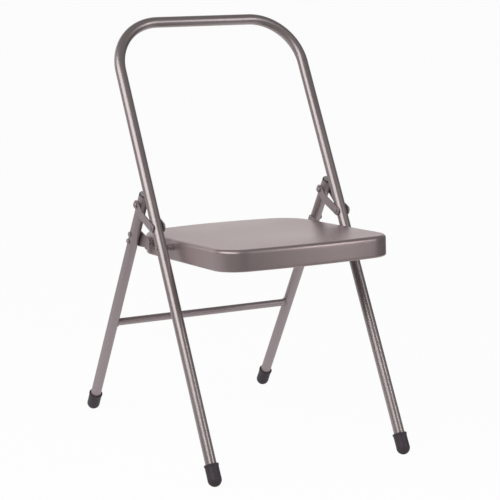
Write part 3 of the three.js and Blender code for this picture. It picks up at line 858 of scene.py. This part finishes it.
# Each rivet: node stem, body, shank radius, inner head and outer head. None is a flush end.
RIVETS = [
    ("link_front_rivet", "frame", SHANK, FLAT_HEAD, FLAT_HEAD),
    ("link_rear_rivet_outer", "link", SHANK, None, DOME_HEAD),
    ("link_rear_rivet_inner", "link", SHANK, DOME_HEAD, None),
    ("seat_pivot_rivet", "frame", SHANK, FLAT_HEAD, SMALL_HEAD),
    ("rear_pivot_rivet", "seat", SHANK, FLAT_HEAD, None),
    ("bracket_rivet_upper", "rear_legs", THIN_SHANK, None, BRACKET_HEAD),
    ("bracket_rivet_lower", "rear_legs", THIN_SHANK, None, BRACKET_HEAD),
]


def rivet_profile(shank, near, far, inner, outer):
    """(radius, distance) pairs from the end at the middle plane to the outer end. A flush
    end stands a hair proud, so that it shares no plane with the plate round it."""
    parts, bevel, proud = [], 0.0003, 0.00015
    if inner:
        face = near + inner[1]
        parts += [head_profile(inner, face, -1)[::-1], [[shank, face]]]
    else:
        near -= proud
        parts.append([[0.0, near], [shank - bevel, near], [shank, near + bevel]])
    if outer:
        face = far - outer[1]
        parts += [[[shank, face]], head_profile(outer, face, 1)]
    else:
        far += proud
        parts.append([[shank, far - bevel], [shank - bevel, far], [0.0, far]])
    return np.concatenate(parts)


def rivet_rub(x, near, far, inner, outer):
    """How far each point lies towards the crown of its head, from 0 to 1, squared."""
    worn = np.zeros_like(x)
    if outer:
        worn = np.maximum(worn, 1 - (far - x) / outer[1])
    if inner:
        worn = np.maximum(worn, 1 - (x - near) / inner[1])
    return np.clip(worn, 0.0, 1.0) ** 2


class CHAIR_OT_rivets(Operator):
    """Sets the rivets of the hinges, links and brackets"""

    bl_idname = "yoga_chair.rivets"
    bl_label = "Rivets"

    def execute(self, context):
        sides = context.scene.chair_hardware.sides
        for word, side in SIDES:
            for stem, body, shank, inner, outer in RIVETS:
                node = f"{stem}_{word}"
                near, far, centre = reach_of(node)
                profile = rivet_profile(shank, near, far, inner, outer)
                rows = turned(profile[1:-1], centre, side * X_AXIS, Y_AXIS, Z_AXIS, sides)
                start, end = [centre + side * profile[i, 1] * X_AXIS for i in (0, -1)]
                name = f"rivet_{stem.replace('_rivet', '')}_{word}"
                piece = skin(name, rows, start, end, smooth=38)
                rub_and_highlight = rivet_rub(profile[:, 1], near, far, inner, outer)
                store(piece, "rub_and_highlight", rub_and_highlight[1:-1], sides, rub_and_highlight[0], rub_and_highlight[-1])
                finished(piece, "rivet", f"link_{word}" if body == "link" else body, node)
        return {"FINISHED"}


def spacer_profile(parts, near, step, far, neck):
    """(radius, distance) pairs round the ring's section, with bevelled corners and a faint
    waist. A neck is the thinner part beyond the step."""
    outer, edge, waist, steps = parts.spacer, 0.0005, 0.0003, 9
    radius = outer - waist * np.sin(np.linspace(0.0, math.pi, steps))
    ring = [
        [[parts.bore, near], [outer - edge, near]],
        table(radius, np.linspace(near + edge, step - edge, steps)),
        [[outer - edge, step]],
    ]
    if neck:
        ring.append([[neck, step], [neck, far]])
    ring.append([[parts.bore, far]])
    return np.concatenate(ring)


class CHAIR_OT_spacers(Operator):
    """Turns the painted spacers between the seat and the legs"""

    bl_idname = "yoga_chair.spacers"
    bl_label = "Spacers"

    def execute(self, context):
        tube, parts = sizes(context)
        step = tube.leg_half_span - tube.radius - parts.plate - 2 * parts.slack
        for word, side in SIDES:
            for stem, body in (("seat_pivot_spacer", "frame"), ("rear_pivot_spacer", "seat")):
                node = f"{stem}_{word}"
                near, far, centre = reach_of(node)
                neck = parts.spacer_neck if far > step + parts.slack else None
                profile = spacer_profile(parts, near, min(far, step), far, neck)
                rows = turned(profile, centre, side * X_AXIS, Y_AXIS, Z_AXIS, parts.sides)
                piece = skin(f"spacer_ring_{node}", rows, close_rows=True, smooth=40)
                finished(piece, "leg", body, node)
        return {"FINISHED"}


def cap_profile(tube, parts):
    """(radius, distance) pairs: the ball with two shallow tread rings, the sleeve, its
    rolled rim and the bore down to the tube's end."""
    groove_depth, groove_width, groove_turns = 0.00035, 0.035, (0.62, 0.92)
    waist_depth, gap, least_turn = 0.00018, 0.0003, 0.03
    swell_start, swell_low, swell_high = 0.0042, 0.0032, 0.0004
    turn = np.linspace(least_turn, QUARTER, 40)
    groove = groove_depth * sum(
        np.exp(-(((turn - spot) / groove_width) ** 2)) for spot in groove_turns
    )
    ball = (parts.ball - groove)[:, None] * table(np.sin(turn), -np.cos(turn))
    rim, bore = parts.cap_lip, tube.radius + gap
    top, wide = parts.cap - rim, parts.ball + rim
    sleeve_end = parts.cap - swell_start
    sleeve = np.linspace(0.0, sleeve_end, 12)[1:]
    neck = table(parts.ball - waist_depth * np.sin(sleeve / sleeve_end * math.pi), sleeve)
    swell = [[wide, parts.cap - swell_low], [wide, top - swell_high]]
    roll = arc(rim, (parts.ball, top), -0.2, QUARTER, 8)
    inner = arc(rim, (bore + rim, top), QUARTER, math.pi, 6)
    floor = [[bore, tube.depth_in_cap - parts.slack]]
    return np.concatenate([ball, neck, swell, roll, inner, floor])


class CHAIR_OT_foot_caps(Operator):
    """Moulds the rubber ball caps"""

    bl_idname = "yoga_chair.foot_caps"
    bl_label = "Foot Caps"

    def execute(self, context):
        tube, parts = sizes(context)
        profile, turn = cap_profile(tube, parts), around(96)
        # The mould's parting line is a thin ridge down the two sides of the cap.
        ridge_height, ridge_width, bore_rows = 0.00012, 0.05, 8
        ridge = ridge_height * np.exp(-((np.sin(turn) / ridge_width) ** 2))
        fade = (profile[:, 0] / profile[:, 0].max()) ** 8
        fade[-bore_rows:] = 0.0
        ridge = (fade[:, None] * ridge)[..., None]
        for word, side in SIDES:
            for end, front, body in (("front", True, "frame"), ("rear", False, "rear_legs")):
                leg = Leg(tube, side, front)
                rows = leg.spun(profile, len(turn)) - ridge * spokes(turn, X_AXIS, leg.square)
                tip = leg.along(-parts.ball)
                # The ball is worn flat where it stands.
                rows[..., 2] = np.maximum(rows[..., 2], 0.0)
                tip[2] = max(tip[2], 0.0)
                inside = leg.along(tube.depth_in_cap - parts.slack)
                piece = skin(f"ball_cap_{end}_{word}", rows, tip, inside, smooth=60)
                finished(piece, "rubber", body, f"foot_cap_{end}_{word}")
        return {"FINISHED"}


class CHAIR_OT_plugs(Operator):
    """Moulds the domed plugs of the rear legs"""

    bl_idname = "yoga_chair.plugs"
    bl_label = "Plugs"

    def execute(self, context):
        tube, parts = sizes(context)
        sides, flange, edge, roundness = 72, 0.0011, 0.0003, 0.75
        depth, radius, taper, chamfer = 0.011, tube.radius - 0.0015, 0.002, 0.0005
        turn = np.linspace(0.0, QUARTER - 0.04, 20)
        dome = tube.radius * np.cos(turn) ** roundness
        rise = flange + (parts.plug_dome - flange) * np.sin(turn)
        for word, side in SIDES:
            leg = Leg(tube, side, False)
            top = leg.rise(tube.rear_top) + parts.slack
            low = top - depth
            stem = [[radius - taper, low], [radius, low + chamfer], [radius, top]]
            flare = [[tube.radius - edge, top], [tube.radius, top + edge]]
            profile = np.concatenate([stem, flare, table(dome, top + rise)])
            rows, end = leg.spun(profile, sides), leg.along(top + parts.plug_dome)
            piece = skin(f"plug_dome_{word}", rows, leg.along(low), end, smooth=40)
            # How far inside the rim each point of the dome lies, for the painted highlight on the
            # crown.
            inner = 1 - profile[:, 0] / tube.radius
            inner[profile[:, 1] < top + flange] = 0.0
            store(piece, "rub_and_highlight", inner, sides, 0.0, 1.0)
            finished(piece, "plug", "rear_legs", f"rear_leg_plug_{word}")
        return {"FINISHED"}


# Stage


def stand(data, place, back, roll=0.0):
    """An object that looks away from the direction back. Its right side is level, turned
    towards its top by the roll."""
    level = unit(np.cross(Z_AXIS, back))
    right = level * math.cos(roll) + np.cross(back, level) * math.sin(roll)
    axes = table(right, np.cross(back, right), back)
    made = add_object(data)
    made.matrix_world = Matrix.Translation(place) @ Matrix(axes.tolist()).to_4x4()
    return made


def area_light(name, place, size, power):
    lamp = bpy.data.lights.new(name, "AREA")
    lamp.shape = "RECTANGLE"
    lamp.size, lamp.size_y = size
    lamp.energy = power
    stand(lamp, place, unit(place - TARGET)).visible_camera = False


def as_camera_faces(recipe, stage):
    """A recipe's place along the camera's level direction and across it."""
    x, y = recipe.part("X"), recipe.part("Y")
    sine, cosine = math.sin(stage.yaw), math.cos(stage.yaw)
    return sine * x + cosine * y, cosine * x - sine * y


# What the softboxes are turned to.
TARGET = 0.45 * Z_AXIS
# Softboxes: name, place, size and power.
LIGHTS = [
    ("left_box", (-2.23, -0.81, 2.0), (3.7, 1.6), 53.0),
    ("front_right_box", (1.45, -2.31, 1.25), (0.5, 1.7), 14.5),
]


def add_floor(stage, finish):
    """A pale floor that the camera sees white, with a faint shadow. In the paint's reflections
    it is white behind the chair, half as bright and reaching further forward on the far left,
    and fades out on the right."""
    steps = np.linspace(-0.5, 0.5, 3) * stage.floor_size
    rows = table(steps[:, None], steps, 0.0)
    floor = skin("studio_floor", rows, close_columns=False)
    ground = Coat("studio_floor")
    camera_sees = ground.seen_by("Camera", "Transmission")
    colour = ground.blend(camera_sees, finish.floor, WHITE)
    ground.shade(Base_Color=colour, Roughness=0.9, Specular_IOR_Level=0.0)
    ahead, aside = as_camera_faces(ground, stage)
    bright = ground.band(aside, -1.6, -0.4, 0.5, 1.0) * (1 - ground.band(aside, 0.5, 1.5))
    begin = ground.band(aside, -1.5, -0.9, -2.5, -0.8)
    mirrored = ground.band(ahead - begin, 0.0, 0.9, 0.0, 0.95) * bright
    white = camera_sees * stage.floor_glow + ground.seen_by("Glossy") * mirrored
    glow = ground.wire("ShaderNodeEmission", {}, {"Color": WHITE, "Strength": 1.0})
    mixed = ground.wire("ShaderNodeMixShader", {}, {0: white, 1: ground.shader, 2: glow})
    ground.feed(ground.output.inputs["Surface"], mixed)
    floor.data.materials.append(ground.material)


def add_world(scene, stage):
    """A dim room with a white backdrop low behind the chair; the camera and glass see
    plain white all round."""
    scene.world = bpy.data.worlds.new("studio_world")
    scene.world.use_nodes = True
    sky = Recipe(scene.world.node_tree, "Generated")
    ahead, aside = as_camera_faces(sky, stage)
    behind = sky.band(ahead, 0.0, 0.5) * (1 - sky.band(aside, 0.15, 0.5))
    low = 1 - sky.band(sky.part("Z"), 0.36, 0.60)
    level = stage.room + (stage.backdrop - stage.room) * (behind * low)
    seen = sky.seen_by("Camera", "Transmission")
    inputs = {"Color": WHITE, "Strength": seen + (1 - seen) * level}
    light = sky.wire("ShaderNodeBackground", {}, inputs)
    sky.node("ShaderNodeOutputWorld", {}, {"Surface": light})


def add_camera(scene, stage):
    """Aims the camera: yaw and pitch give its forward direction, roll turns it about it."""
    level = math.cos(stage.pitch)
    forward = [level * math.sin(stage.yaw), level * math.cos(stage.yaw), math.sin(stage.pitch)]
    lens = bpy.data.cameras.new("photo_camera")
    lens.lens = stage.lens
    lens.sensor_width = 36.0
    scene.camera = stand(lens, stage.camera_place, -np.array(forward), stage.roll)


class CHAIR_OT_stage(Operator):
    """Lays the floor and sets the lights and the camera"""

    bl_idname = "yoga_chair.stage"
    bl_label = "Stage"

    def execute(self, context):
        scene = context.scene
        stage, finish = scene.chair_stage, scene.chair_finish
        add_floor(stage, finish)
        add_world(scene, stage)
        for light in LIGHTS:
            area_light(*light)
        add_camera(scene, stage)
        scene.view_settings.view_transform = "Standard"
        return {"FINISHED"}


# Add-on


PIECE_OPERATORS = [
    CHAIR_OT_front_frame, CHAIR_OT_rear_legs, CHAIR_OT_seat_pan, CHAIR_OT_hinge_brackets,
    CHAIR_OT_link_straps, CHAIR_OT_rivets, CHAIR_OT_spacers, CHAIR_OT_foot_caps,
    CHAIR_OT_plugs, CHAIR_OT_stage,
]

SETTINGS = {
    "chair_tubes": TubeSettings,
    "chair_seat": SeatSettings,
    "chair_hardware": HardwareSettings,
    "chair_finish": FinishSettings,
    "chair_stage": StageSettings,
}


class CHAIR_PT_panel(Panel):
    """Lists the chair's operators and their settings"""

    bl_idname = "CHAIR_PT_panel"
    bl_label = "Yoga Chair"
    bl_space_type = "VIEW_3D"
    bl_region_type = "UI"
    bl_category = "Yoga Chair"

    def draw(self, context):
        for operator in PIECE_OPERATORS:
            self.layout.operator(operator.bl_idname)
        for name, group in SETTINGS.items():
            box = self.layout.box()
            box.label(text=group.__name__)
            for key in group.__annotations__:
                box.prop(getattr(context.scene, name), key)


CLASSES = [*SETTINGS.values(), *PIECE_OPERATORS, CHAIR_PT_panel]


def register():
    for cls in CLASSES:
        bpy.utils.register_class(cls)
    for name, group in SETTINGS.items():
        setattr(bpy.types.Scene, name, PointerProperty(type=group))


def unregister():
    for name in SETTINGS:
        delattr(bpy.types.Scene, name)
    for cls in reversed(CLASSES):
        bpy.utils.unregister_class(cls)


def main():
    register()
    for operator in PIECE_OPERATORS:
        group, name = operator.bl_idname.split(".")
        getattr(getattr(bpy.ops, group), name)()


if __name__ == "__main__":
    main()
